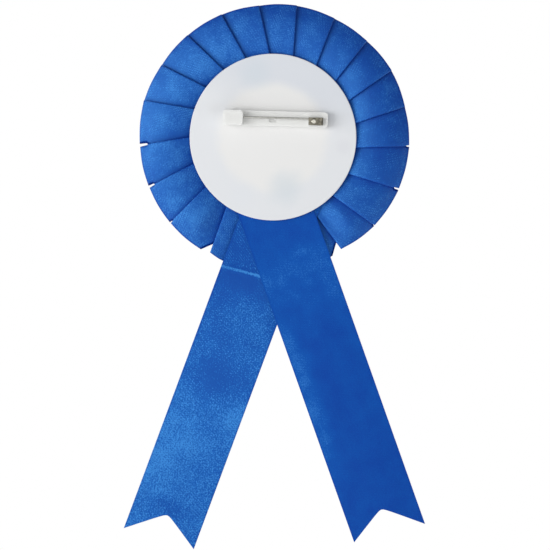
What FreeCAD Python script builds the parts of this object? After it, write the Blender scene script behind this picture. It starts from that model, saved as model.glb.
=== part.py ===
import FreeCAD, Part
import math
import os

# Award rosette: a button on a ring of knife-pleated ribbon, two ribbon tails, and a bar pin.
# Millimetres. +Z is up as worn, -Y is the front and +Y is the back, where the pin is.
# The origin is on the axis of the needle, straight above the middle of the rosette.

V = FreeCAD.Vector

# Driving dimensions
RIBBON_WIDTH = 25.4
RIBBON_THICK = 0.3
ROSETTE_Z = -6.6            # middle of the rosette, below the needle
PLEATS = 21
PLEAT_CORNER_R = 46.9       # where a pleat's fold meets the outer edge
PLEAT_START_DEG = 9.6       # the first fold, clockwise from the top as seen from the back
FOLD_OFFSET = 4.6           # how far the line of a fold passes from the middle
PLEAT_RISE = 1.0            # how far a fold stands above the panel that goes under it
PLEAT_STACK = 1.3           # thickness of the pressed pleats
DISC_R = 29.0
DISC_THICK = 0.6
BUTTON_R = 29.0
CARD_R = 27.5
CARD_THICK = 0.8
TAIL_CROSSING = (-1.74, -34.7)   # X and Z of the point where the two tails' middle lines cross
TAIL_TOP = 14.0             # how far a tail goes on above the crossing, under the disc
HINGE_REACH = 49.0          # from the rosette's middle to the line where a tail starts to swing
HINGE_GAP = 0.6             # free ribbon at that line, between the fixed and the swinging part
BAR_TILT_DEG = 1.6          # the bar is stuck on a little askew
WIRE_R = 0.35

# Places along Y, from the back to the front
BAR_TOP = -1.7
BAR_BOTTOM = -3.0
DISC_BACK = -4.0
DISC_FRONT = DISC_BACK - DISC_THICK
STAPLE_WIRE = (0.4, 0.5)    # thickness and width
STAPLE_BACK = DISC_FRONT - 0.05
REAR_TAIL_BACK = STAPLE_BACK - STAPLE_WIRE[0] - 0.05
FRONT_TAIL_BACK = REAR_TAIL_BACK - 2 * RIBBON_THICK
PLEAT_BACK = FRONT_TAIL_BACK - RIBBON_THICK - 0.05
PLEAT_LOW = PLEAT_BACK - PLEAT_RISE
PLEAT_FRONT = PLEAT_LOW - PLEAT_STACK
THREAD_R = 0.12
CARD_BACK = PLEAT_FRONT - 2 * THREAD_R - 0.06
CARD_FRONT = CARD_BACK - CARD_THICK
RIM_BACK = CARD_FRONT - 0.05

# Button: a flat dome, a round shoulder and a straight rim
DOME_R = 130.0
SHOULDER_R = 2.2
RIM_DEPTH = 0.7
SHELL_THICK = 0.3
PAPER_THICK = 0.13
FILM_THICK = 0.12

# Bar pin, along X before it is tilted
BAR_X = (-19.1, 17.4)
BAR_Z = (-2.8, 2.4)
HOOD_X = 10.5
HOOD_TOP = 1.7
HOOD_WALL = 0.8
BLOCK_X = -11.9
BLOCK_TOP = -0.8
CLIP_X = (-17.4, -12.4)
CLIP_SHEET = 0.35
RIVET_R = 0.45
EYE_CLEARANCE = 0.05
EYE_WIRE_R = 0.33           # the wire is drawn a little thinner where it is bent
EYE_SWEEP_DEG = 250.0
RIVET_X = -14.2
RIVET_Z = -(RIVET_R + EYE_CLEARANCE + EYE_WIRE_R)
SHANK = (-10.5, 9.7)         # the straight, full-width part of the needle
NEEDLE_TIP = 15.9
TIP_R = 0.06


def save(name, shape):
    shape.exportStep("parts/" + name + ".step")


def box(x, y, z):
    """A block between two values along each axis."""
    return Part.makeBox(x[1] - x[0], y[1] - y[0], z[1] - z[0], V(x[0], y[0], z[0]))


def disc_y(radius, y_front, y_back, x=0.0, z=ROSETTE_Z):
    return Part.makeCylinder(radius, y_back - y_front, V(x, y_front, z), V(0, 1, 0))


def polar(radius, angle_deg):
    """X and Z at an angle clockwise from the top, as seen from the back."""
    a = math.radians(angle_deg)
    return -radius * math.sin(a), ROSETTE_Z + radius * math.cos(a)


def round_edges(shape, radius, chosen):
    """Rounds the edges that chosen(edge) picks."""
    return shape.makeFillet(radius, [e for e in shape.Edges if chosen(e)])


def runs_along(edge, axis):
    """True for a straight edge along the axis numbered 0, 1 or 2."""
    ends = [v.Point for v in edge.Vertexes]
    if len(ends) != 2 or edge.Curve.TypeId != "Part::GeomLine":
        return False
    return all(abs(ends[1][k] - ends[0][k]) < 1e-6 for k in range(3) if k != axis)


def tilted(shape):
    """Turns a piece of the bar pin with the bar: the catch end goes up."""
    shape.rotate(V(0, 0, 0), V(0, -1, 0), BAR_TILT_DEG)
    return shape


# Rosette

def backing_disc():
    disc = disc_y(DISC_R, DISC_FRONT, DISC_BACK)
    return round_edges(disc, 0.22, lambda e: e.Curve.TypeId == "Part::GeomCircle")


def pleat_panel(start_deg, inner_r):
    """One pressed pleat, flat and tilted: low where it starts and high at its fold."""
    pitch = 360.0 / PLEATS
    skew = math.degrees(math.asin(FOLD_OFFSET / inner_r) - math.asin(FOLD_OFFSET / PLEAT_CORNER_R))
    corners = [
        polar(inner_r, start_deg + skew),
        polar(PLEAT_CORNER_R, start_deg),
        polar(PLEAT_CORNER_R, start_deg + pitch),
        polar(inner_r, start_deg + pitch + skew),
    ]
    ax, az = corners[0]
    length = math.hypot(corners[1][0] - ax, corners[1][1] - az)
    along = ((corners[1][0] - ax) / length, (corners[1][1] - az) / length)

    def away(point):
        """How far a corner is from the line where the pleat starts."""
        return abs((point[0] - ax) * along[1] - (point[1] - az) * along[0])

    slope = PLEAT_RISE / away(corners[2])
    points = [V(x, PLEAT_LOW + slope * away((x, z)), z) for x, z in corners]
    face = Part.Face(Part.makePolygon(points + points[:1]))
    return face.extrude(V(0, -PLEAT_STACK, 0))


def pleated_ribbon():
    inner_r = PLEAT_CORNER_R - RIBBON_WIDTH
    panels = [pleat_panel(PLEAT_START_DEG + i * 360.0 / PLEATS, inner_r) for i in range(PLEATS)]
    return panels[0].multiFuse(panels[1:]).removeSplitter()


def gathering_thread():
    """The thread that gathers the pleats, a loop between them and the card."""
    y = PLEAT_FRONT - THREAD_R - 0.03
    return Part.makeTorus(22.2, THREAD_R, V(0, y, ROSETTE_Z), V(0, 1, 0))


def core_card():
    return disc_y(CARD_R, CARD_FRONT, CARD_BACK)


def glue_dots():
    """Hot-melt dots that hold the disc on the pleats, clear of the tails."""
    dots = []
    for angle in (0, 60, 115, 245, 300):
        x, z = polar(25.0, angle)
        dots.append(disc_y(2.2, PLEAT_BACK + 0.03, DISC_FRONT, x, z))
    return Part.makeCompound(dots)


# Tails

def tail_direction(side, angle_deg):
    """Down along a tail: side +1 leans to +X and -1 leans to -X."""
    a = math.radians(angle_deg)
    return V(side * math.sin(a), 0, -math.cos(a))


def hinge_distance(down):
    """From the tails' crossing to a tail's hinge line, measured down the tail."""
    crossing = V(TAIL_CROSSING[0], 0, TAIL_CROSSING[1])
    return HINGE_REACH - (crossing - V(0, 0, ROSETTE_Z)).dot(down)


def ribbon_slab(down, y_back, outline):
    """A flat piece of ribbon: its outline is (along, across) from the crossing of the tails."""
    across = V(-down.z, 0, down.x)
    start = V(TAIL_CROSSING[0], y_back, TAIL_CROSSING[1])
    points = [start + down * a + across * b for a, b in outline]
    face = Part.Face(Part.makePolygon(points + points[:1]))
    return face.extrude(V(0, -RIBBON_THICK, 0))


def tail(name, side, angle_deg, y_back, outer_tip, inner_tip, notch):
    """Saves a tail as its fixed root and the part that swings, and prints its hinge."""
    down = tail_direction(side, angle_deg)
    hinge = hinge_distance(down)
    half = RIBBON_WIDTH / 2
    root = [(-TAIL_TOP, -half), (-TAIL_TOP, half), (hinge - HINGE_GAP / 2, half),
            (hinge - HINGE_GAP / 2, -half)]
    free = [(hinge + HINGE_GAP / 2, -side * half), (hinge + HINGE_GAP / 2, side * half),
            (outer_tip, side * half), (notch, 0), (inner_tip, -side * half)]
    save("tail_" + name + "_root", ribbon_slab(down, y_back, root))
    save("tail_" + name, ribbon_slab(down, y_back, free))
    on_line = V(TAIL_CROSSING[0], y_back - RIBBON_THICK / 2, TAIL_CROSSING[1]) + down * hinge
    print(name, "tail hinge", [round(c, 3) for c in on_line],
          "axis", [round(c, 5) for c in V(-down.z, 0, down.x)])


def staple(z):
    """A wire staple through both tails, the pleats and the card, its legs bent inwards."""
    half, thick, wide = 4.5, STAPLE_WIRE[0], STAPLE_WIRE[1]
    bend = CARD_FRONT - thick
    z_range = (z - wide / 2, z + wide / 2)
    piece = box((-half, half), (STAPLE_BACK - thick, STAPLE_BACK), z_range)
    for side in (-1, 1):
        leg = sorted((side * half, side * (half - thick)))
        toe = sorted((side * half, side * (half - 3.2)))
        piece = piece.fuse(box(leg, (bend, STAPLE_BACK - thick), z_range))
        piece = piece.fuse(box(toe, (bend, CARD_FRONT), z_range))
    return piece.removeSplitter()


def tail_staples():
    return Part.makeCompound([staple(ROSETTE_Z - 22.8), staple(ROSETTE_Z - 24.8)])


# Button

def button_layer(depth, thick):
    """A dome with a rounded shoulder and a straight rim; depth is how far its outside
    lies under the button's own outside."""
    shoulder_mid_r = BUTTON_R - SHOULDER_R
    rim_start = RIM_BACK - RIM_DEPTH
    reach = math.sqrt((DOME_R - SHOULDER_R) ** 2 - shoulder_mid_r ** 2)
    dome_mid = rim_start + reach
    dome_sweep = math.atan2(shoulder_mid_r, reach)

    def outline(offset):
        """Front of the dome, middle and end of its arc, middle of the shoulder, rim."""
        dome = DOME_R - offset
        shoulder = SHOULDER_R - offset
        turn = math.pi / 2 - dome_sweep
        points = [V(dome * math.sin(a), dome_mid - dome * math.cos(a), 0)
                  for a in (0, dome_sweep / 2, dome_sweep)]
        points += [V(shoulder_mid_r + shoulder * math.sin(dome_sweep + t),
                     rim_start - shoulder * math.cos(dome_sweep + t), 0)
                   for t in (turn / 2, turn)]
        return points + [V(BUTTON_R - offset, RIM_BACK, 0)]

    outside, inside = outline(depth), outline(depth + thick)
    edges = []
    for side in (outside, inside):
        edges.append(Part.Arc(side[0], side[1], side[2]).toShape())
        edges.append(Part.Arc(side[2], side[3], side[4]).toShape())
        edges.append(Part.LineSegment(side[4], side[5]).toShape())
    edges.append(Part.LineSegment(outside[0], inside[0]).toShape())
    edges.append(Part.LineSegment(outside[5], inside[5]).toShape())
    face = Part.Face(Part.Wire(Part.__sortEdges__(edges)))
    layer = face.revolve(V(0, 0, 0), V(0, 1, 0), 360)
    layer.translate(V(0, 0, ROSETTE_Z))
    return layer


def button_collet():
    """The ring pressed into the button's rim: a flange on the card and a short inner wall."""
    outer_r = BUTTON_R - FILM_THICK - PAPER_THICK - SHELL_THICK - 0.1
    flange = disc_y(outer_r, RIM_BACK - 0.3, RIM_BACK)
    wall = disc_y(26.9, RIM_BACK - 1.3, RIM_BACK - 0.3)
    return flange.fuse(wall).removeSplitter().cut(disc_y(26.6, RIM_BACK - 2, RIM_BACK + 1))


# Bar pin

def foam_pad():
    return tilted(box((BAR_X[0] + 0.5, BAR_X[1] - 0.5), (DISC_BACK, BAR_BOTTOM),
                      (BAR_Z[0] + 0.25, BAR_Z[1] - 0.25)))


def pin_bar():
    """One white moulding: a flat bar, a block for the clip and a hood with a side mouth."""
    bar = box(BAR_X, (BAR_BOTTOM, BAR_TOP), BAR_Z)
    block = box((BAR_X[0], BLOCK_X), (BAR_TOP, BLOCK_TOP), BAR_Z)
    hood = box((HOOD_X, BAR_X[1]), (BAR_TOP, HOOD_TOP), BAR_Z)
    body = bar.fuse([block, hood]).removeSplitter()
    body = round_edges(body, 1.1, lambda e: runs_along(e, 1) and e.BoundBox.YLength > 1.5)
    ledge = -WIRE_R - 0.3
    channel = box((HOOD_X - 1, BAR_X[1] - HOOD_WALL), (BAR_TOP, HOOD_TOP - HOOD_WALL),
                  (ledge, BAR_Z[1] + 1))
    dimple = box((-1.3, 1.3), (BAR_TOP - 0.5, BAR_TOP + 0.5), (-1.5, -0.3))
    rivet_hole = disc_y(RIVET_R + 0.01, BLOCK_TOP - 0.9, BLOCK_TOP + 1, RIVET_X, RIVET_Z)
    return tilted(body.cut(channel).cut(dimple).cut(rivet_hole))


def hinge_clip():
    """A strip of nickel-plated sheet folded round the needle's eye, open towards the needle."""
    z_range = (RIVET_Z - 1.3, RIVET_Z + 1.3)
    block = box(CLIP_X, (BLOCK_TOP, -BLOCK_TOP), z_range)
    block = round_edges(block, 0.5, lambda e: runs_along(e, 2) and e.BoundBox.XMin < CLIP_X[0] + 1)
    slot = box((CLIP_X[0] + CLIP_SHEET, CLIP_X[1] + 1),
               (BLOCK_TOP + CLIP_SHEET, -BLOCK_TOP - CLIP_SHEET), (-9, 9))
    rivet_hole = disc_y(RIVET_R + 0.01, -3, 3, RIVET_X, RIVET_Z)
    return tilted(block.cut(slot).cut(rivet_hole))


def hinge_rivet():
    """The needle's axle, with a low round head on the clip."""
    stem = disc_y(RIVET_R, BLOCK_TOP - 0.85, -BLOCK_TOP + 0.02, RIVET_X, RIVET_Z)
    head = disc_y(0.85, -BLOCK_TOP, -BLOCK_TOP + 0.35, RIVET_X, RIVET_Z)
    head = round_edges(head, 0.3, lambda e: e.BoundBox.YMin > -BLOCK_TOP + 0.1
                       and e.Curve.TypeId == "Part::GeomCircle")
    return tilted(stem.fuse(head).removeSplitter())


def needle():
    """Steel wire: an eye round the rivet, a straight shank and a long point."""
    rivet = V(RIVET_X, 0, RIVET_Z)
    section = Part.Face(Part.Wire(Part.makeCircle(EYE_WIRE_R, V(RIVET_X, 0, 0), V(1, 0, 0))))
    eye = section.revolve(rivet, V(0, -1, 0), EYE_SWEEP_DEG)
    neck = Part.makeCone(EYE_WIRE_R, WIRE_R, SHANK[0] - RIVET_X, V(RIVET_X, 0, 0), V(1, 0, 0))
    shank = Part.makeCylinder(WIRE_R, SHANK[1] - SHANK[0], V(SHANK[0], 0, 0), V(1, 0, 0))
    point = Part.makeCone(WIRE_R, TIP_R, NEEDLE_TIP - SHANK[1], V(SHANK[1], 0, 0), V(1, 0, 0))
    return tilted(eye.fuse([neck, shank, point]))


def main():
    os.makedirs("parts", exist_ok=True)
    save("backing_disc", backing_disc())
    save("pleated_ribbon", pleated_ribbon())
    save("gathering_thread", gathering_thread())
    save("core_card", core_card())
    save("glue_dots", glue_dots())
    tail("front", 1, 20.4, FRONT_TAIL_BACK, 119.4, 117.6, 110.3)
    tail("rear", -1, 19.5, REAR_TAIL_BACK, 117.3, 115.1, 107.5)
    save("tail_staples", tail_staples())
    save("button_film", button_layer(0.0, FILM_THICK))
    save("button_paper", button_layer(FILM_THICK, PAPER_THICK))
    save("button_shell", button_layer(FILM_THICK + PAPER_THICK, SHELL_THICK))
    save("button_collet", button_collet())
    save("foam_pad", foam_pad())
    save("pin_bar", pin_bar())
    save("hinge_clip", hinge_clip())
    save("hinge_rivet", hinge_rivet())
    save("needle", needle())


main()
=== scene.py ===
import math

import bpy
import numpy as np
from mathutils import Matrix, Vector, noise


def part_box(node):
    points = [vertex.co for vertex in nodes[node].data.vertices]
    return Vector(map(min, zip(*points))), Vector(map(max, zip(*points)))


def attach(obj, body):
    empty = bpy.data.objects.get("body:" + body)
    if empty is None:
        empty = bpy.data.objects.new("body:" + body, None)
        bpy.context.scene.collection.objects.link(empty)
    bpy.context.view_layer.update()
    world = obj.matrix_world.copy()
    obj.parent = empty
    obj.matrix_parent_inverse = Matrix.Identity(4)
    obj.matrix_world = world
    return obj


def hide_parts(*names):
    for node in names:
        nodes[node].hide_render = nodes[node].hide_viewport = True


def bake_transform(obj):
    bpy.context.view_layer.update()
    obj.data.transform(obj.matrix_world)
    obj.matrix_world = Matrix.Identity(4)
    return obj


# Award rosette, dressed round its CAD frame. +Z is up as worn, +Y is the back, where the pin is,
# and -Y is the front. Shapes and materials are in millimetres, and are turned into metres with MM
# where Blender takes them. The floor, the lights and the camera are in metres.

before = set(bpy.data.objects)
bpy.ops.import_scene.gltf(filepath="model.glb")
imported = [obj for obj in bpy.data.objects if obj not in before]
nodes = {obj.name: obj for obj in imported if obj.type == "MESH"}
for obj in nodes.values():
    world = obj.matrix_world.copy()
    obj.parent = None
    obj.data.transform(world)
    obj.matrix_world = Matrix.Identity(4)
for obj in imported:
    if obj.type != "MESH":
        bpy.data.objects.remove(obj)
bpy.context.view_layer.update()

MM = 0.001
disc_low, disc_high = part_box("backing_disc")
ROSETTE_Z = (disc_low.z + disc_high.z) / 2 / MM      # middle of the rosette
RIBBON_WIDTH = 25.4
RIBBON_THICK = 0.22
TAIL_THICK = 0.17


# ---------------------------------------------------------------- meshes

def mesh_object(name, verts, faces):
    mesh = bpy.data.meshes.new(name)
    mesh.from_pydata(verts, [], faces)
    obj = bpy.data.objects.new(name, mesh)
    bpy.context.scene.collection.objects.link(obj)
    return obj


def grid_mesh(name, points, uvs, closed=False, flip=False, fold_shade=None):
    """A sheet from rows of points in millimetres: points[i][j], with UVs in millimetres too.
    closed joins the last row to the first; the last argument is painted shade in the folds: how dark
    each point is, from 0 to 1."""
    rows, cols = points.shape[:2]
    verts = (points.reshape(-1, 3) * MM).tolist()
    faces, corner_uvs = [], []
    for i in range(rows if closed else rows - 1):
        k = (i + 1) % rows
        for j in range(cols - 1):
            face = [i * cols + j, k * cols + j, k * cols + j + 1, i * cols + j + 1]
            next_uv = uvs[k] if k else uvs[-1] + (uvs[-1] - uvs[-2])
            uv = [uvs[i][j], next_uv[j], next_uv[j + 1], uvs[i][j + 1]]
            if flip:
                face.reverse()
                uv.reverse()
            faces.append(face)
            corner_uvs += [tuple(x) for x in uv]
    obj = mesh_object(name, verts, faces)
    mesh = obj.data
    layer = mesh.uv_layers.new(name="ribbon")
    layer.data.foreach_set("uv", np.array(corner_uvs, np.float32).ravel())
    mesh.polygons.foreach_set("use_smooth", [True] * len(mesh.polygons))
    # painted shade in the folds, kept on each point for the material
    dark = mesh.attributes.new("fold_shade", "FLOAT", "POINT")
    if fold_shade is not None:
        dark.data.foreach_set("value", fold_shade.astype(np.float32).ravel())
    mesh.update()
    return obj


def thicken(obj, thickness):
    mod = obj.modifiers.new("thickness", "SOLIDIFY")
    mod.thickness = thickness * MM
    mod.offset = 0.0
    mod.use_even_offset = False
    mod.material_offset_rim = 1
    return obj


def smooth(low, high, x):
    """From 0 at low to 1 at high, with no corner at either end."""
    t = min(1.0, max(0.0, (x - low) / (high - low)))
    return t * t * (3 - 2 * t)


def ripple(x, y, z, scale, seed):
    """Smooth noise from -1 to 1 at a place in millimetres."""
    return noise.noise(Vector((x / scale + seed * 7.3, y / scale - seed * 3.1, z / scale + seed)))


# ---------------------------------------------------------------- pleated ribbon

PLEATS = 21
INNER_R = 21.5
OUTER_R = 46.3
SIDE_STRETCH = 0.65          # the ring is a little wider than it is high
RING_SHIFT = -0.45           # and sits a little towards -X of the disc
FOLD_OFFSET = 4.6
FIRST_FOLD_DEG = 9.6
# How far each pleat was sewn from its even place, in degrees
SEWN_OFF = (0, 0, 0, -0.8, -1.4, -1.6, 0.2, 1.8, 2.3, 1.2, 0, -1.2, -6.3, -1.9, -1.2, -0.2,
            1.9, 1.5, 1.3, 1.3, 0.8)
# Pleats that gape at the rim: width and depth of the opening. A wide one is a V: from its depth
# outwards, the lower pleat's edge slants away from the fold.
GAPING = {5: (0.7, 1.3), 6: (0.8, 2.0), 7: (0.5, 0.9), 8: (4.0, 4.5), 9: (1.0, 2.0),
          11: (1.0, 2.0), 12: (3.6, 4.9), 13: (0.6, 1.3), 14: (1.0, 2.4), 15: (1.2, 3.0)}
WIDE = 2.0
SKEWED = {12: 4.4}           # folds that lie more across the ring than the rest, in degrees
DRAWN_IN = {8: 1.3, 12: 0.3}  # and corners that stop short of the rim
GAP_STARTS = 0.012           # a narrow opening starts and opens over these shares of the width
GAP_OPENS = 0.02
V_SPREAD = 0.012             # keeps the cloth gathered at the tip of a V from closing to a line
RIM_WOBBLE = 0.22
RIM_BULGE = 0.55             # a pleat's outer edge curves out between its corners
PANEL_BELLY = 0.22           # a pleat stands back between its folds
PANEL_RIPPLE = 0.10
FOLD_DEPTH_IN = 5.25         # how far a pleat runs on under the next one, at the disc and the rim
FOLD_DEPTH_OUT = 1.1
FOLD_R = 0.26
FOLD_SHADE_REACH = 0.8            # how far the painted shade in a fold reaches out of it
RING_TOP = -6.17             # middle of the cloth at a fold's top
RISE_OUT = 1.75              # from a pleat's low fold to its top one, at the rim and the disc
RISE_IN = 1.95
CROWN = 2.55                 # the ring bulges towards the back between disc and rim
CROWN_R = 36.5
CROWN_HALF = 9.6
CROWN_INNER_R = 28.0         # inside this it flattens again
RIM_DROOP = 0.3


def polar(radius, deg):
    """A point of the ring, with 0 degrees at the top and +X at 270."""
    a = math.radians(deg)
    return np.array([-radius * math.sin(a), ROSETTE_Z + radius * math.cos(a)])


def fold_angle(k):
    return FIRST_FOLD_DEG + 360.0 / PLEATS * k + SEWN_OFF[k % PLEATS]


def corner_radius(deg, k):
    wobble = RIM_WOBBLE * math.sin(2.4 * k + 1.0)
    wider = SIDE_STRETCH * math.sin(math.radians(deg)) ** 2
    return OUTER_R + wider + wobble - DRAWN_IN.get(k, 0.0)


def fold_line(k):
    """Inner and outer end of a pleat's upper fold, and the direction across it, clockwise."""
    deg = fold_angle(k)
    corner = corner_radius(deg, k % PLEATS)
    skew = math.degrees(math.asin(FOLD_OFFSET / INNER_R) - math.asin(FOLD_OFFSET / corner))
    skew += SKEWED.get(k % PLEATS, 0.0)
    shift = np.array([RING_SHIFT, 0.0])
    inner = polar(INNER_R, deg + skew) + shift
    outer = polar(corner, deg) + shift
    along = (outer - inner) / np.linalg.norm(outer - inner)
    return inner, outer, np.array([-along[1], along[0]])


def crown(x, z):
    """How far the ring stands back of its flat place."""
    dx, dz = x, z - ROSETTE_Z
    r = math.hypot(dx, dz)
    deg = math.degrees(math.atan2(-dx, dz)) % 360
    under_tails = 1 - smooth(31, 43, abs(deg - 180))
    shape = 1 - ((max(r, CROWN_INNER_R) - CROWN_R) / CROWN_HALF) ** 2
    inner = smooth(CROWN_INNER_R - 6.0, CROWN_INNER_R, r)
    droop = -RIM_DROOP * smooth(41.0, 48.0, r) * (1 - under_tails)
    return CROWN * shape * inner * (1 - under_tails) + droop


# Rows of points across the ribbon, closer together at the rim, where the openings are
V_ROWS = [0.0, 0.1, 0.2, 0.3, 0.4, 0.5, 0.6, 0.7, 0.78, 0.84, 0.875, 0.9, 0.915, 0.93, 0.945,
          0.96, 0.975, 0.988, 0.998, 1.0]
PANEL_STEPS = 16
ARC_STEPS = 6
RETURN_STEPS = 6


def fold_depth(share):
    """How far a pleat runs on under the next one, at a share of the ribbon's width."""
    return FOLD_DEPTH_IN + (FOLD_DEPTH_OUT - FOLD_DEPTH_IN) * share


def pleat_section(k, v):
    """One pleat at a share v of the ribbon's width: points (x, y, z) from the low fold up the
    panel, round the upper fold, back under it and round to the next low fold."""
    def at(fold, share):
        inner, outer, across = fold_line(fold)
        return inner + (outer - inner) * share, across

    def upper_share(gap):
        """How much of an opening comes off the upper fold: half, but none of a wide one."""
        return 0.5 if gap < WIDE else 0.0

    def opening(fold):
        """An opening's width, the share of the ribbon's width where it starts, and how far it
        is open here, from 0 to 1."""
        gap, depth = GAPING.get(fold % PLEATS, (0.0, 0.0))
        start = 1 - depth / RIBBON_WIDTH
        if gap < WIDE:
            return gap, start, smooth(start - GAP_STARTS, start + GAP_OPENS, v) if gap else 0.0
        return gap, start, max(0.0, (v - start) / (1 - start))

    def low_depth(share, fold):
        gap, _, opened = opening(fold)
        return fold_depth(share) * (1 - opened) - gap * (1 - upper_share(gap)) * opened

    rise = RISE_IN + (RISE_OUT - RISE_IN) * v
    low_start, across0 = at(k, v)
    depth0 = low_depth(v, k)
    rho0 = min(FOLD_R, max(0.0, depth0 / 2))
    begin = low_start - across0 * (depth0 - rho0)
    end, across1 = at(k + 1, v)
    gap, start, opened = opening(k + 1)
    drawn_back = gap * upper_share(gap) * opened
    end = end - across1 * drawn_back
    depth1 = low_depth(v, k + 1) - drawn_back
    rho1 = min(FOLD_R, max(0.0, depth1 / 2))
    top = end - across1 * rho1

    outward = (begin + top) / 2 - np.array([RING_SHIFT, ROSETTE_Z])
    outward = outward / np.linalg.norm(outward)
    points = []
    for s in range(PANEL_STEPS):
        t = s / PANEL_STEPS
        x, z = begin + (top - begin) * t
        belly = PANEL_BELLY * math.sin(math.pi * t) * (0.4 + 0.6 * v)
        y = RING_TOP - rise * (1 - t) ** 1.15 + belly
        y += PANEL_RIPPLE * ripple(x, 0, z, 5.0, 1) * math.sin(math.pi * t)
        x, z = np.array([x, z]) + outward * (RIM_BULGE * v ** 3 * math.sin(math.pi * t))
        out_of_fold = np.linalg.norm(top - begin) * t - depth0
        # the fourth value is painted shade: full under the next pleat's fold, fading out of it on the
        # panel
        points.append([x, y, z, math.exp(-max(0.0, out_of_fold) / FOLD_SHADE_REACH)])
    for s in range(ARC_STEPS + 1):
        a = math.pi * s / ARC_STEPS
        x, z = top + across1 * (rho1 * math.sin(a))
        points.append([x, RING_TOP - FOLD_R * (1 - math.cos(a)), z, 0.25 * s / ARC_STEPS])
    low_x, low_z = (end - across1 * (depth1 - rho1))
    first, last = points[-1], [low_x, RING_TOP - rise + 2 * FOLD_R, low_z, 1.0]
    for s in range(1, RETURN_STEPS):
        t = s / RETURN_STEPS
        points.append([a + (b - a) * t for a, b in zip(first, last)])
    low = np.array([low_x, low_z])
    for s in range(ARC_STEPS + 1):
        a = math.pi * s / ARC_STEPS
        x, z = low - across1 * (rho1 * math.sin(a))
        points.append([x, RING_TOP - rise + FOLD_R * (1 + math.cos(a)), z, 1.0])
    points = np.array(points)[:-1]
    first_return = PANEL_STEPS + ARC_STEPS + 1
    count = RETURN_STEPS - 1
    if opened and gap < WIDE:
        # the cloth between two gaping corners is drawn in towards the middle
        inner, outer, _ = fold_line(k + 1)
        inward = (inner - outer) / RIBBON_WIDTH
        drawn = max(0.0, (v - start + GAP_STARTS) * RIBBON_WIDTH)
        for s in range(count):
            window = math.sin(math.pi * (s + 0.5) / count) ** 0.35
            points[first_return + s, (0, 2)] += inward * drawn * window
    elif depth1 < 0:
        # behind a wide V it is gathered at the V's tip, where the pleat's edge leaves the fold
        leaves = start
        for _ in range(3):
            leaves = start + (1 - start) * fold_depth(leaves) / (fold_depth(leaves) + gap)
        tip, _ = at(k + 1, leaves + V_SPREAD * (v - leaves))
        points[first_return:first_return + count, (0, 2)] = tip
    return points


def pleated_ribbon():
    rows = []
    for k in range(PLEATS):
        sections = [pleat_section(k, v) for v in V_ROWS]
        for i in range(len(sections[0])):
            rows.append([section[i] for section in sections])
    points = np.array(rows)
    # the fourth column is the painted shade in the folds
    fold_shade = points[..., 3].copy()
    points = points[..., :3].copy()
    for row in points:
        for p in row:
            p[1] += crown(p[0], p[2])
    steps = np.linalg.norm(np.diff(points[:, len(V_ROWS) // 2], axis=0), axis=1)
    along = np.concatenate([[0.0], np.cumsum(steps)])
    uvs = np.zeros(points.shape[:2] + (2,))
    uvs[..., 0] = along[:, None]
    uvs[..., 1] = np.array(V_ROWS)[None, :] * RIBBON_WIDTH
    return thicken(grid_mesh("pleated_ring", points, uvs, closed=True, fold_shade=fold_shade), RIBBON_THICK)


# ---------------------------------------------------------------- tails

TAIL_CROSSING = (-1.74, -34.7)
TAIL_TOP = -14.0             # places along a tail are measured from where the tails cross
TAIL_CUT = 96.0              # from here the rows turn to follow the swallow-tail cut
CUT_ROWS = 16
ACROSS_POINTS = 33
NOTCH_ROUND = 0.9            # how softly the notch is rounded
EDGE_ROW = 0.06              # the last row of faces is narrow, so that the edge shades crisply
FRONT_TILT = 20.4            # degrees from straight down
REAR_TILT = 19.5


def tail_frame(side, angle_deg):
    """The directions down a tail and across it."""
    a = math.radians(angle_deg)
    down = np.array([side * math.sin(a), 0.0, -math.cos(a)])
    across = np.array([math.cos(a), 0.0, side * math.sin(a)])
    return down, across


def tail(name, side, angle_deg, middle_y, outer_tip, inner_tip, notch, sag):
    """A ribbon tail with a swallow-tail cut: b runs across it, from -X to +X, and a down it."""
    down, across = tail_frame(side, angle_deg)
    origin = np.array([TAIL_CROSSING[0], middle_y, TAIL_CROSSING[1]])
    half = RIBBON_WIDTH / 2
    inside = half - EDGE_ROW
    b_values = np.concatenate([[-half], np.linspace(-inside, inside, ACROSS_POINTS), [half]])
    straight = list(np.arange(TAIL_TOP, TAIL_CUT, 1.0))

    def cut(b):
        """How far down the tail reaches at b."""
        tip = outer_tip if b * side > 0 else inner_tip
        rounded = NOTCH_ROUND
        reach = (math.hypot(b, rounded) - rounded) / (math.hypot(half, rounded) - rounded)
        return notch + (tip - notch) * reach

    rows, uvs = [], []
    to_cut = list(np.linspace(1 / CUT_ROWS, 1, CUT_ROWS)[:-1]) + [0.997, 1.0]
    levels = [(a, 0.0) for a in straight] + [(straight[-1], t) for t in to_cut]
    for a0, t in levels:
        row, uv = [], []
        for b in b_values:
            a = a0 + (cut(b) - a0) * t
            p = origin + down * a + across * b
            p[1] += sag(a, b)
            row.append(p)
            uv.append((a, b + half))
        rows.append(row)
        uvs.append(uv)
    obj = grid_mesh(name, np.array(rows), np.array(uvs), flip=True)
    return thicken(obj, TAIL_THICK)


CREASE = 20.1                # where the front tail bends, at its edge on the -X side
CREASE_SLANT = 0.095
REAR_BENDS = 20.0


def front_sag(a, b):
    """The front tail bends over the ring's rim at a crease, hangs lower and turns a little."""
    across = b + RIBBON_WIDTH / 2
    beyond = a - CREASE - CREASE_SLANT * across
    past = max(0.0, beyond)
    hang = -2.4 * smooth(0, 60, past) - 0.9 * smooth(0, 14, past)
    crease = 0.22 * math.exp(-(beyond / 0.6) ** 2)
    turn = -0.09 * across * smooth(0, 35, past)
    wave = 0.45 * math.sin((a - 24) / 13.0) * smooth(5, 30, past)
    unevenness = 0.12 * ripple(a, b, 0, 7.0, 3) * smooth(0, 12, past)
    cup = -0.0012 * b * b * smooth(0, 20, past)
    return hang + crease + turn + wave + unevenness + cup


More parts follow.
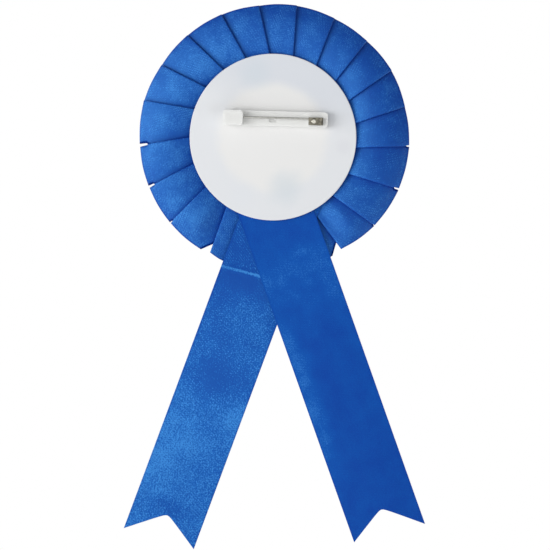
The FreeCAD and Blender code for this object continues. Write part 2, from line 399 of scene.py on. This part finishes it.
def rear_sag(a, b):
    """The rear tail lies on the ring and the front tail, then hangs almost straight."""
    past = max(0.0, a - REAR_BENDS)
    wave = 0.45 * math.sin(past / 26.0) * smooth(0, 20, past)
    pressed = -0.24 * (1 - smooth(14, 30, a))
    hang = -0.7 * smooth(0, 50, past)
    unevenness = 0.06 * ripple(a, b, 0, 8.0, 4) * smooth(0, 12, past)
    cup = -0.0016 * b * b * smooth(0, 30, past)
    return wave + pressed + hang + unevenness + cup


# ---------------------------------------------------------------- button decoration

DOME_R = 130.0
SUNK = 0.03                  # the foil's edge is sunk into the film
film_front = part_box("button_film")[0].y / MM


def on_dome(x, z, lift):
    """A point on the button's front, x and z from its middle, standing lift out of it."""
    return (x, film_front + DOME_R - math.sqrt(DOME_R ** 2 - x * x - z * z) - lift, ROSETTE_Z + z)


def foil(name, verts, faces):
    return mesh_object(name, [tuple(c * MM for c in v) for v in verts], faces)


def closed_outline(outline, ridge, lift, verts, faces):
    """A raised shape: its outline on the dome, a step up, and faces rising to the ridge points."""
    count, base = len(outline), len(verts)
    verts += [on_dome(x, z, -SUNK) for x, z in outline]
    verts += [on_dome(x, z, lift) for x, z in outline]
    verts += [on_dome(x, z, h) for x, z, h in ridge]
    verts += [on_dome(sum(x for x, _ in outline) / count, sum(z for _, z in outline) / count, -SUNK)]
    under = len(verts) - 1
    top = base + 2 * count
    for i in range(count):
        k = (i + 1) % count
        faces.append([base + i, base + k, base + count + k, base + count + i])
        faces.append([base + k, base + i, under])
        near, far = ridge_of(i, count, len(ridge)), ridge_of(k, count, len(ridge))
        if near == far:
            faces.append([base + count + i, base + count + k, top + near])
        else:
            faces.append([base + count + i, base + count + k, top + far, top + near])


def ridge_of(i, count, ridges):
    """Which ridge point an outline point rises to: a leaf's outline runs out along one side of
    its ridge and back along the other."""
    if ridges == 1:
        return 0
    half = count // 2
    return min(ridges - 1, max(0, (i if i <= half else count - i) - 1))


STAR_R, STAR_IN, STAR_LIFT = 9.2, 3.75, 0.38
WREATH_R = 16.2
WREATH_PAIRS = 11
WREATH_START, WREATH_STEP = 172, 13.2        # degrees from the top, and from pair to pair


def star():
    verts, faces, outline = [], [], []
    for i in range(10):
        a, r = math.pi * i / 5, STAR_IN if i % 2 else STAR_R
        outline.append((r * math.sin(a), r * math.cos(a)))
    closed_outline(outline, [(0.0, 0.0, STAR_LIFT)], 0.10, verts, faces)
    return foil("foil_star", verts, faces)


def leaf(x, z, heading, length, width, verts, faces):
    """A pointed leaf from (x, z), heading in radians, with a raised midrib."""
    steps = 5
    ahead = (math.sin(heading), math.cos(heading))
    aside = (ahead[1], -ahead[0])

    def at(t, side):
        w = width / 2 * math.sin(math.pi * t ** 0.8) * side
        return x + ahead[0] * length * t + aside[0] * w, z + ahead[1] * length * t + aside[1] * w

    shares = [(i + 1) / (steps + 1) for i in range(steps)]
    out = [at(t, 1) for t in shares]
    back = [at(t, -1) for t in reversed(shares)]
    outline = [at(0, 0)] + out + [at(1, 0)] + back
    ridge = [at(t, 0) + (0.08 + 0.14 * math.sin(math.pi * t),) for t in shares]
    closed_outline(outline, ridge, 0.06, verts, faces)


def wreath():
    """Two open sprays of leaves in pairs, each with a single leaf at its top end."""
    verts, faces = [], []

    def stem(side, deg):
        a = math.radians(side * deg)
        return WREATH_R * math.sin(a), WREATH_R * math.cos(a), a - side * math.pi / 2

    for side in (-1, 1):
        for i in range(WREATH_PAIRS):
            x, z, grow = stem(side, WREATH_START - WREATH_STEP * i)
            for lean, length in ((0.55, 4.3), (-0.55, 3.9)):
                leaf(x, z, grow + lean, length, 1.75, verts, faces)
        x, z, grow = stem(side, WREATH_START - WREATH_STEP * WREATH_PAIRS + 5)
        leaf(x, z, grow, 4.6, 1.8, verts, faces)
    return foil("foil_wreath", verts, faces)


def border(name, inner, outer, lift):
    """A flat ring on the dome with rounded edges."""
    profile = [(inner, -SUNK), (inner + 0.05, lift * 0.7), (inner + 0.15, lift), (outer - 0.15, lift),
               (outer - 0.05, lift * 0.7), (outer, -SUNK)]
    turns, count = 144, len(profile)
    verts, faces = [], []
    for i in range(turns):
        a = 2 * math.pi * i / turns
        verts += [on_dome(r * math.sin(a), r * math.cos(a), h) for r, h in profile]
        k = (i + 1) % turns
        for j in range(count):
            m = (j + 1) % count
            faces.append([i * count + j, k * count + j, k * count + m, i * count + m])
    return foil(name, verts, faces)


# ---------------------------------------------------------------- materials

class Nodes:
    """Short calls for building a node tree."""

    def __init__(self, name):
        self.material = bpy.data.materials.new(name)
        self.material.use_nodes = True
        self.tree = self.material.node_tree
        self.shader = self.tree.nodes["Principled BSDF"]

    def add(self, kind, inputs=None, **settings):
        node = self.tree.nodes.new(kind)
        for key, value in settings.items():
            setattr(node, key, value)
        for key, value in (inputs or {}).items():
            self.set(node, key, value)
        return node

    def set(self, node, key, value):
        socket = node.inputs[key]
        if isinstance(value, bpy.types.NodeSocket):
            self.tree.links.new(value, socket)
        else:
            socket.default_value = value

    def math(self, operation, a, b=None, c=None):
        node = self.tree.nodes.new("ShaderNodeMath")
        node.operation = operation
        for i, value in enumerate((a, b, c)):
            if value is not None:
                self.set(node, i, value)
        return node.outputs[0]

    def mix(self, factor, a, b, blend="MIX"):
        node = self.tree.nodes.new("ShaderNodeMix")
        node.data_type = "RGBA"
        node.blend_type = blend
        self.set(node, 0, factor)
        self.set(node, 6, a)
        self.set(node, 7, b)
        return node.outputs[2]

    def product(self, *factors):
        result = factors[0]
        for factor in factors[1:]:
            result = self.math("MULTIPLY", result, factor)
        return result

    def hypot(self, a, b):
        return self.math("SQRT", self.math("ADD", self.product(a, a), self.product(b, b)))

    def scaled(self, vector, factors):
        node = self.add("ShaderNodeVectorMath", {0: vector, 1: factors}, operation="MULTIPLY")
        return node.outputs[0]

    def place(self):
        """Position in the frame, in millimetres, as a vector: the object's own coordinates."""
        coords = self.tree.nodes.new("ShaderNodeTexCoord")
        return self.scaled(coords.outputs["Object"], (1 / MM, 1 / MM, 1 / MM))

    def split(self, vector):
        return self.add("ShaderNodeSeparateXYZ", {0: vector}).outputs

    def from_middle(self):
        """x and z from the rosette's middle, and the distance from it, in millimetres."""
        x, _, z = self.split(self.place())[:3]
        dz = self.math("SUBTRACT", z, ROSETTE_Z)
        return x, dz, self.hypot(x, dz)

    def noise(self, vector, scale, detail=2.0, rough=0.5):
        node = self.add("ShaderNodeTexNoise", {"Vector": vector, "Scale": scale, "Detail": detail,
                                               "Roughness": rough})
        return node.outputs["Fac"]

    def ramp(self, value, low, high, out_low=0.0, out_high=1.0, curve="SMOOTHSTEP"):
        node = self.add("ShaderNodeMapRange", {0: value, 1: low, 2: high, 3: out_low, 4: out_high},
                        interpolation_type=curve)
        return node.outputs[0]

    def bump(self, height, distance, strength=1.0, normal=None):
        inputs = {"Height": height, "Distance": distance, "Strength": strength}
        if normal is not None:
            inputs["Normal"] = normal
        return self.add("ShaderNodeBump", inputs).outputs[0]

    def finish(self, **sockets):
        """Sets or links the shader's sockets, by short names, and gives the material."""
        names = {"color": "Base Color", "rough": "Roughness", "normal": "Normal",
                 "metal": "Metallic", "specular": "Specular IOR Level", "tint": "Specular Tint",
                 "sheen": "Sheen Weight", "sheen_rough": "Sheen Roughness",
                 "sheen_tint": "Sheen Tint", "coat": "Coat Weight", "coat_rough": "Coat Roughness",
                 "aniso": "Anisotropic", "tangent": "Tangent", "sss": "Subsurface Weight",
                 "sss_scale": "Subsurface Scale", "sss_radius": "Subsurface Radius",
                 "ior": "IOR"}
        for key, value in sockets.items():
            self.set(self.shader, names[key], value)
        return self.material


BLUE = (0.0010, 0.047, 0.360, 1)
BLUE_DEEP = (0.0001, 0.0125, 0.285, 1)
BLUE_LIGHT = (0.040, 0.195, 0.60, 1)
SATIN_TINT = (0.09, 0.52, 1.0, 1)


THREAD_PITCH = 0.17
FLOAT_LENGTH = 0.85
SELVEDGE_PITCH = 0.42


def weave_height(n, along, across, selvedge):
    """The woven surface, from 0 to 1: long floats between the selvedges, and ribs on them."""
    thread = n.math("DIVIDE", across, THREAD_PITCH)
    index = n.math("FLOOR", thread)
    round_thread = n.math("SINE", n.product(n.math("FRACT", thread), math.pi))
    step = n.math("MULTIPLY_ADD", index, 0.4, n.math("DIVIDE", along, FLOAT_LENGTH))
    round_float = n.math("SINE", n.product(n.math("FRACT", step), math.pi))
    weave = n.product(round_thread, n.math("POWER", round_float, 0.35))
    rib = n.math("SINE", n.product(along, 2 * math.pi / SELVEDGE_PITCH))
    return n.math("ADD", n.product(weave, n.math("SUBTRACT", 1.0, selvedge)),
                  n.product(n.math("MULTIPLY_ADD", rib, 0.5, 0.5), selvedge))


def satin(name, zones=None, speckle=0.10, rough=0.46, edge_shade=0.3, grain=12.0, tint=SATIN_TINT):
    """Woven polyester satin. The warp runs along the ribbon (U), in floats that step sideways
    from thread to thread; zones(n, along, across) gives a value that lightens or deepens it."""
    n = Nodes(name)
    uv = n.add("ShaderNodeUVMap", uv_map="ribbon").outputs[0]
    along, across = n.split(uv)[:2]
    half = RIBBON_WIDTH / 2
    from_middle = n.math("ABSOLUTE", n.math("SUBTRACT", across, half))
    height = weave_height(n, along, across, n.ramp(from_middle, half - 0.9, half - 0.7))

    fine = n.noise(n.scaled(uv, (0.55, 1.6, 1.0)), 1.25, 3.0, 0.7)
    cloud = n.noise(uv, 0.17, 2.0, 0.5)
    tone = n.math("ADD", n.product(n.math("SUBTRACT", fine, 0.5), speckle * 6.0),
                  n.product(n.math("SUBTRACT", cloud, 0.5), 1.3))
    lean_a = n.math("SINE", n.math("MULTIPLY_ADD", along, 6.6, n.product(across, 3.1)))
    lean_b = n.math("SINE", n.math("MULTIPLY_ADD", along, -2.6, n.product(across, 6.9)))
    patch = n.ramp(n.noise(uv, 0.22, 2.0, 0.6), 0.38, 0.66)
    twill = n.math("MULTIPLY_ADD", n.product(lean_a, lean_b), 0.7, n.product(lean_a, 0.35))
    dots = n.product(twill, patch)
    tone = n.math("MULTIPLY_ADD", dots, 2.6 * speckle, tone)
    grit = n.noise(n.place(), 1.7, 2.0, 0.75)
    tone = n.math("MULTIPLY_ADD", n.ramp(grit, 0.55, 0.75), 3.0 * speckle, tone)
    specks = n.noise(uv, 1.9, 1.0, 0.7)
    tone = n.math("MULTIPLY_ADD", n.math("SUBTRACT", specks, 0.5), grain * speckle, tone)
    # painted shade in the ring's folds, read from the mesh, darkens the cloth
    fold_shade = n.add("ShaderNodeAttribute", attribute_name="fold_shade").outputs["Fac"]
    tone = n.math("MULTIPLY_ADD", fold_shade, -0.9, tone)
    tone = n.math("ADD", tone, n.ramp(from_middle, half - 0.55, half - 0.25, 0.0, -edge_shade))
    if zones:
        # on the ring and the front tail this is painted sheen and painted shade
        tone = n.math("ADD", tone, zones(n, along, across))
    color = n.mix(n.ramp(tone, -1, 0, 1, 0, "LINEAR"), BLUE, BLUE_DEEP)
    color = n.mix(n.ramp(tone, 0, 1, 0, 1, "LINEAR"), color, BLUE_LIGHT)
    # painted shade in the weave's grooves, between the threads
    weave_groove_shade = n.ramp(height, 0.0, 0.5, 0.80, 1.0)
    grey = n.add("ShaderNodeCombineColor", {0: weave_groove_shade, 1: weave_groove_shade, 2: weave_groove_shade}).outputs[0]
    color = n.mix(1.0, color, grey, "MULTIPLY")
    soft = n.noise(uv, 0.9, 2.0, 0.6)
    normal = n.bump(soft, 0.10 * MM, 0.5)
    normal = n.bump(height, 0.035 * MM, 0.7, normal)
    tangent = n.add("ShaderNodeTangent", direction_type="UV_MAP", uv_map="ribbon").outputs[0]
    roughness = n.ramp(fine, 0.3, 0.7, rough - 0.05, rough + 0.05, "LINEAR")
    return n.finish(color=color, rough=roughness, normal=normal, specular=1.0, tint=tint,
                    ior=1.65, aniso=0.45, tangent=tangent, sheen=0.03, sheen_rough=0.4,
                    sheen_tint=(0.1, 0.4, 1.0, 1))


def cut_edge():
    """The thin edge of the ribbon: thread ends, with no shine."""
    n = Nodes("satin_edge")
    ends = n.noise(n.place(), 2.6, 2.0, 0.6)
    color = n.mix(ends, (0.0002, 0.008, 0.10, 1), (0.001, 0.03, 0.24, 1))
    return n.finish(color=color, rough=0.9, normal=n.bump(ends, 0.05 * MM, 0.6), specular=0.05)


def blob(n, along, across, a0, b0, half_a, half_b, amount):
    """A soft oval patch on a ribbon."""
    da = n.math("DIVIDE", n.math("SUBTRACT", along, a0), half_a)
    db = n.math("DIVIDE", n.math("SUBTRACT", across, b0), half_b)
    return n.ramp(n.hypot(da, db), 0.0, 1.6, amount, 0.0)


# Lighter patches of painted sheen and deeper ones of painted shade: two places, two half sizes, and how
# much.
# On the ring they are measured along x and z from its middle, and on the tail along it and across it.
RING_SHEEN_PATCHES = ((33, -30, 12, 12, 0.3), (-41, -11, 12, 17, -0.2), (18, 24, 10, 9, 0.26),
                (-30, -14, 9, 11, 0.28), (29, 12, 6, 9, 0.22))
FRONT_SHEEN_PATCHES = ((25, 18, 3.5, 7, -1.0), (36, 9, 8, 10, 0.3), (42, 17, 4, 4, -0.3),
                 (49, 19, 5, 9, -0.4), (60, 14, 7, 11, -1.1), (55, 8, 9, 10, -0.3), (72, 2, 9, 6, 0.4),
                 (75, 9, 5, 4, -0.3), (79, 24, 7, 5, 0.25), (86, 18, 10, 10, 0.4), (98, 23, 9, 8, 0.5),
                 (108, 14, 4, 9, -0.5))


def ring_painted_sheen(n, along, across):
    """The ring: painted sheen and painted shade, lighter on the +X side, towards the key lamp, deeper on
    the other side, and in patches."""
    x, dz, r = n.from_middle()
    middle_band = n.product(n.ramp(r, 30.0, 37.0), n.ramp(r, 38.0, 44.0, 1.0, 0.2))
    # painted sheen and shade: the middle of the ring lighter towards +X, deeper towards -X
    total = n.product(x, 0.2 / OUTER_R, middle_band)
    for patch in RING_SHEEN_PATCHES:
        total = n.math("ADD", total, blob(n, x, dz, *patch))
    return total


def front_painted_sheen(n, along, across):
    """The front tail: painted shade over its upper part and just under its crease, a painted highlight
    along the crease, then painted sheen and painted glints lower down.
    """
    line = n.math("MULTIPLY_ADD", across, -CREASE_SLANT, along)
    rough_line = n.math("MULTIPLY_ADD", n.noise(n.place(), 1.1, 2.0, 0.7), 0.7, line)
    off = n.math("ABSOLUTE", n.math("SUBTRACT", rough_line, CREASE + 0.35))
    # painted highlight along the crease
    crease_highlight = n.product(n.ramp(off, 0.15, 0.75, 2.4, 0.0), n.ramp(across, 8.0, 25.0, 1.0, 0.5))
    below = n.ramp(line, CREASE + 0.4, CREASE + 1.6)
    # painted shade just under the crease
    shade_below_crease = n.product(below, n.ramp(line, CREASE + 2, CREASE + 18, -0.35, 0.0))
    # painted sheen, growing down the tail
    lit = n.ramp(line, CREASE + 8, CREASE + 40, 0.0, 0.5)
    # painted shade over the tail's upper part, up to the crease
    shade_above_crease = n.ramp(line, CREASE - 1.0, CREASE, -0.25, 0.0)
    # painted glints below the crease
    glints = n.ramp(n.noise(n.place(), 2.2, 1.0, 0.8), 0.50, 0.72, -0.15, 1.1)
    sparkle = n.product(glints, n.ramp(line, CREASE + 1, CREASE + 14))
    total = n.math("ADD", crease_highlight, n.math("ADD", shade_below_crease, lit))
    for patch in FRONT_SHEEN_PATCHES:
        total = n.math("ADD", total, blob(n, along, across, *patch))
    total = n.math("MAXIMUM", total, -0.95)
    twill = n.math("SINE", n.math("MULTIPLY_ADD", along, 7.4, n.product(across, 5.2)))
    twill = n.product(twill, n.ramp(line, CREASE - 2, CREASE, 0.7, 0.0),
                      n.ramp(n.noise(n.place(), 0.5, 2.0, 0.6), 0.35, 0.6))
    total = n.math("ADD", n.math("ADD", total, shade_above_crease), twill)
    return n.math("ADD", total, n.math("SUBTRACT", sparkle, 0.40))


def rear_zones(n, along, across):
    """The rear tail: plain, lighter at the top, with a lighter band down one edge and a fainter
    one down the other."""
    lower = n.ramp(along, 78, 96, 1.0, 0.0)
    near_band = n.product(n.ramp(across, RIBBON_WIDTH - 8.0, RIBBON_WIDTH - 2.0, 0.0, 0.8),
                          n.ramp(along, 30, 42))
    far_band = n.product(n.ramp(across, 1.5, 7.0, 0.25, 0.0), n.ramp(along, 18, 28))
    bands = n.product(n.math("ADD", near_band, far_band), lower)
    top = n.product(n.ramp(along, 9, 15), n.ramp(along, 16, 46, 0.5, 0.0))
    return n.math("ADD", n.math("ADD", n.ramp(along, 10, 60, -0.5, -0.68), bands), top)


# Where glue shows faintly through the disc, and a painted shadow beside the pin's hood: x and z from its
# middle, radius, tint, strength
GLUE_AND_SHADOW_MARKS = ((6.3, 22.7, 7.0, (0.585, 0.645, 0.70, 1), 0.55),
              (-4.6, -17.8, 7.2, (0.61, 0.66, 0.70, 1), 0.68),
              (-24.4, -3.4, 3.4, (0.64, 0.65, 0.69, 1), 0.35),
              # painted shadow of the pin's hood on the disc
              (20.0, 9.5, 3.6, (0.66, 0.67, 0.685, 1), 0.5),
              (11.0, -20.0, 6.0, (0.70, 0.725, 0.76, 1), 0.5))


def white_disc():
    """A white sheet: a warmer middle, a cooler edge, the marks from the glue, and a painted shadow
    beside the pin's hood.
    """
    n = Nodes("white_disc")
    p = n.place()
    x, dz, r = n.from_middle()
    cloud = n.noise(p, 0.12, 3.0, 0.6)
    wobble = n.math("MULTIPLY_ADD", cloud, 5.0, n.math("SUBTRACT", r, 2.5))
    color = n.mix(n.ramp(wobble, 16.5, 21.5), (0.765, 0.765, 0.76, 1), (0.715, 0.732, 0.757, 1))
    upper = n.product(n.ramp(n.math("MULTIPLY_ADD", x, -0.3, dz), 6.0, 22.0), n.ramp(r, 16.0, 21.0))
    color = n.mix(n.product(upper, 0.7), color, (0.625, 0.655, 0.71, 1))

    for mark_x, mark_z, radius, tint, strength in GLUE_AND_SHADOW_MARKS:
        d = n.hypot(n.math("SUBTRACT", x, mark_x), n.math("SUBTRACT", dz, mark_z))
        edge = n.math("MULTIPLY_ADD", cloud, 0.6 * radius, d)
        color = n.mix(n.ramp(edge, 0.45 * radius, 1.5 * radius, strength, 0.0), color, tint)
    normal = n.bump(n.noise(p, 0.35, 3.0, 0.6), 0.08 * MM, 0.35)
    normal = n.bump(n.noise(p, 9.0, 2.0, 0.6), 0.01 * MM, 0.4, normal)
    return n.finish(color=color, rough=n.ramp(cloud, 0.3, 0.7, 0.50, 0.62), normal=normal, specular=0.25)


def plastic(name, color, rough, grain=6.0, spread=0.03, scatter=1.6):
    """Moulded plastic: slight flow marks, a fine grain, and light that scatters inside it."""
    n = Nodes(name)
    p = n.place()
    flow = n.noise(p, 0.4, 2.0, 0.5)
    dark = tuple(c * (1 - 2 * spread) for c in color[:3]) + (1,)
    tone = n.mix(flow, dark, color)
    normal = n.bump(n.noise(p, grain, 2.0, 0.6), 0.01 * MM, 0.4)
    roughness = n.ramp(flow, 0.3, 0.7, rough - 0.05, rough + 0.07)
    return n.finish(color=tone, rough=roughness, normal=normal, specular=0.4, sss=0.75,
                    sss_scale=scatter * MM, sss_radius=(1.0, 1.0, 1.0))


def metal(name, color, rough, brushed=(1.0, 1.0, 1.0), wear=0.15, scale=3.0):
    """Bare or plated metal: fine scratches, stretched by brushed, and darker tarnish."""
    n = Nodes(name)
    fine = n.noise(n.scaled(n.place(), brushed), scale, 3.0, 0.65)
    tarnish = n.noise(n.place(), 0.9, 3.0, 0.6)
    dark = tuple(c * (1 - 2 * wear) for c in color[:3]) + (1,)
    tone = n.mix(n.ramp(tarnish, 0.35, 0.7), color, dark)
    normal = n.bump(fine, 0.012 * MM, 0.6)
    roughness = n.ramp(fine, 0.3, 0.7, rough - 0.06, rough + 0.08)
    return n.finish(color=tone, rough=roughness, normal=normal, metal=1.0)


def card_stock():
    n = Nodes("grey_card")
    fibre = n.noise(n.scaled(n.place(), (1.0, 3.0, 2.2)), 1.6, 4.0, 0.7)
    color = n.mix(n.ramp(fibre, 0.3, 0.7), (0.34, 0.33, 0.31, 1), (0.48, 0.47, 0.44, 1))
    return n.finish(color=color, rough=0.85, normal=n.bump(fibre, 0.03 * MM, 0.6), specular=0.2)


def glue():
    n = Nodes("hot_glue")
    p = n.place()
    lump = n.noise(p, 0.5, 2.0, 0.5)
    color = n.mix(lump, (0.72, 0.69, 0.60, 1), (0.82, 0.80, 0.73, 1))
    roughness = n.ramp(lump, 0.3, 0.7, 0.22, 0.34)
    return n.finish(color=color, rough=roughness, normal=n.bump(lump, 0.2 * MM, 0.5), coat=0.3,
                    coat_rough=0.15)


THREAD_TWISTS = 420.0        # round the whole ring


def sewing_thread():
    n = Nodes("blue_thread")
    x, dz, _ = n.from_middle()
    twist = n.math("SINE", n.product(n.math("ARCTAN2", x, dz), THREAD_TWISTS))
    color = n.mix(n.ramp(twist, -1, 1), BLUE_DEEP, BLUE_LIGHT)
    return n.finish(color=color, rough=0.7, normal=n.bump(twist, 0.03 * MM, 0.7))


def foam():
    n = Nodes("white_foam")
    p = n.place()
    cells = n.add("ShaderNodeTexVoronoi", {"Vector": p, "Scale": 3.2}).outputs["Distance"]
    color = n.mix(n.ramp(cells, 0.0, 0.6), (0.60, 0.60, 0.58, 1), (0.74, 0.74, 0.72, 1))
    return n.finish(color=color, rough=0.9, normal=n.bump(cells, 0.12 * MM, 0.6), specular=0.2)


PRINT_BLUE = (0.0025, 0.040, 0.31, 1)
RAYS = 60.0


def print_face(name, coat):
    """The printed button: a blue field with fine rays. coat is the clear film over it."""
    n = Nodes(name)
    x, dz, r = n.from_middle()
    rays = n.math("SINE", n.product(n.math("ARCTAN2", x, dz), RAYS))
    ray_zone = n.product(n.ramp(r, 9.0, 12.0), n.ramp(r, 21.0, 23.0, 1.0, 0.0))
    tone = n.product(n.ramp(rays, -0.3, 0.3), n.product(ray_zone, 0.32))
    color = n.mix(tone, PRINT_BLUE, (0.006, 0.10, 0.52, 1))
    grain = n.noise(n.place(), 2.5, 3.0, 0.6)
    color = n.mix(n.ramp(grain, 0.3, 0.7, 0.0, 0.10), color, (0.01, 0.14, 0.55, 1))
    normal = n.bump(grain, 0.006 * MM, 0.3)
    return n.finish(color=color, rough=0.38, normal=normal, coat=coat, coat_rough=0.05, specular=0.1)


# ---------------------------------------------------------------- build

ring = pleated_ribbon()
front_mid = sum(c.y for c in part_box("tail_front")) / 2 / MM
rear_mid = sum(c.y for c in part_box("tail_rear")) / 2 / MM
front_tail = tail("front_tail_ribbon", 1, FRONT_TILT, front_mid, outer_tip=120.1, inner_tip=118.4,
                  notch=110.6, sag=front_sag)
rear_tail = tail("rear_tail_ribbon", -1, REAR_TILT, rear_mid, outer_tip=117.5, inner_tip=115.3,
                 notch=107.7, sag=rear_sag)

ring.data.materials.append(satin("satin_ring", ring_painted_sheen, speckle=0.27, rough=0.42,
                                 edge_shade=0.9, grain=3.5, tint=(0.14, 0.54, 1.0, 1)))
front_tail.data.materials.append(satin("satin_front_tail", front_painted_sheen, speckle=0.30, rough=0.44,
                                       tint=(0.09, 0.50, 0.94, 1)))
rear_tail.data.materials.append(satin("satin_rear_tail", rear_zones, speckle=0.11, rough=0.5,
                                      tint=(0.07, 0.45, 1.0, 1)))

ribbon_edge = cut_edge()
for ribbon in (ring, front_tail, rear_tail):
    ribbon.data.materials.append(ribbon_edge)


def dress(node, material):
    slots = nodes[node].data.materials
    if slots:
        slots[0] = material
    else:
        slots.append(material)


dress("backing_disc", white_disc())
dress("gathering_thread", sewing_thread())
dress("core_card", card_stock())
dress("glue_dots", glue())
dress("tail_staples", metal("steel_wire", (0.60, 0.60, 0.60, 1), 0.3, (1, 3, 1)))
dress("foam_pad", foam())
dress("pin_bar", plastic("white_plastic", (0.775, 0.78, 0.765, 1), 0.42))
dress("hinge_clip", metal("nickel", (0.24, 0.225, 0.18, 1), 0.36, (0.4, 2, 2), wear=0.3, scale=2.0))
dress("hinge_rivet", metal("nickel_rivet", (0.66, 0.64, 0.56, 1), 0.24))
dress("needle", metal("needle_steel", (0.55, 0.545, 0.51, 1), 0.38, (0.3, 3, 3), wear=0.08))
dress("button_shell", metal("tinplate", (0.66, 0.66, 0.64, 1), 0.3))
dress("button_collet", metal("tinplate_collet", (0.62, 0.62, 0.60, 1), 0.34))
dress("button_paper", print_face("printed_paper", 0.0))
dress("button_film", print_face("film_over_print", 0.6))

gold = metal("gold_foil", (0.86, 0.60, 0.20, 1), 0.26, wear=0.06, scale=4.0)
foils = (star(), wreath(), border("foil_border", 24.3, 25.4, 0.09),
         border("foil_line", 23.2, 23.6, 0.06))
for piece in foils:
    piece.data.materials.append(gold)
    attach(piece, "rosette")

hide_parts("pleated_ribbon")
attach(ring, "rosette")
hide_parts("tail_front_root", "tail_front")
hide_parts("tail_rear_root", "tail_rear")


def blend_tail(obj):
    """Bakes the tail's placement into its mesh."""
    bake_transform(obj)


blend_tail(front_tail)
blend_tail(rear_tail)


# ---------------------------------------------------------------- stage

def floor_material():
    """A pale matt floor that fades into the white behind it."""
    n = Nodes("floor")
    x, y, _ = n.split(n.place())[:3]
    fade = n.ramp(n.hypot(x, y), 250.0, 900.0, 0.5, 1.0)
    white = n.add("ShaderNodeEmission", {"Color": (1, 1, 1, 1), "Strength": 1.0}).outputs[0]
    blend = n.add("ShaderNodeMixShader", {0: fade, 1: n.shader.outputs[0], 2: white})
    output = n.tree.nodes["Material Output"]
    n.tree.links.new(blend.outputs[0], output.inputs[0])
    return n.finish(color=(0.86, 0.86, 0.86, 1), rough=0.9, specular=0.1)


FLOOR_R = 8.0
FLOOR_Z = -0.27
FLOOR_SIDES = 64
rim = [(FLOOR_R * math.cos(a), FLOOR_R * math.sin(a), FLOOR_Z)
       for a in np.linspace(0, 2 * math.pi, FLOOR_SIDES, endpoint=False)]
floor = mesh_object("floor", rim, [list(range(FLOOR_SIDES))])
floor.data.materials.append(floor_material())


def area_light(name, place, size, power):
    """A soft round lamp that faces the award's middle."""
    light = bpy.data.lights.new(name, "AREA")
    light.shape = "DISK"
    light.size = size
    light.energy = power
    obj = bpy.data.objects.new(name, light)
    obj.location = place
    direction = MIDDLE - Vector(place)
    obj.rotation_euler = direction.to_track_quat("-Z", "Y").to_euler()
    bpy.context.scene.collection.objects.link(obj)


MIDDLE = Vector((0.0, -0.006, -0.055))
area_light("key", (0.97, 0.78, -0.14), 1.1, 15.4)
area_light("fill", (0.1, 1.2, 0.2), 0.9, 1.6)
area_light("front_key", (0.75, -0.90, 0.75), 0.7, 13.0)
area_light("front_fill", (-1.1, -0.6, 0.1), 0.9, 2.5)


def studio_world():
    """Soft light from all round, and plain white behind the award."""
    world = bpy.data.worlds.new("studio")
    world.use_nodes = True
    tree = world.node_tree
    soft_light = tree.nodes["Background"]
    soft_light.inputs["Color"].default_value = (1, 1, 1, 1)
    soft_light.inputs["Strength"].default_value = 0.32
    behind = tree.nodes.new("ShaderNodeBackground")
    behind.inputs["Color"].default_value = (1, 1, 1, 1)
    behind.inputs["Strength"].default_value = 1.0
    light_path = tree.nodes.new("ShaderNodeLightPath")
    choose = tree.nodes.new("ShaderNodeMixShader")
    tree.links.new(light_path.outputs["Is Camera Ray"], choose.inputs[0])
    tree.links.new(soft_light.outputs[0], choose.inputs[1])
    tree.links.new(behind.outputs[0], choose.inputs[2])
    tree.links.new(choose.outputs[0], tree.nodes["World Output"].inputs[0])
    return world


bpy.context.scene.world = studio_world()
bpy.context.scene.view_settings.view_transform = "Standard"

VIEW_WIDTH = 0.1914          # what the camera sees at the cloth, from this distance
DISTANCE = 2.6
CLOTH_Y = -0.006
SENSOR = 36.0
camera = bpy.data.cameras.new("camera")
camera.sensor_width = SENSOR
camera.lens = SENSOR * DISTANCE / VIEW_WIDTH
camera.clip_start, camera.clip_end = 0.01, 50.0
camera_object = bpy.data.objects.new("camera", camera)
camera_object.location = (-0.0007, DISTANCE + CLOTH_Y, -0.05457)
camera_object.rotation_euler = (math.pi / 2, 0, math.pi)
bpy.context.scene.collection.objects.link(camera_object)
bpy.context.scene.camera = camera_object
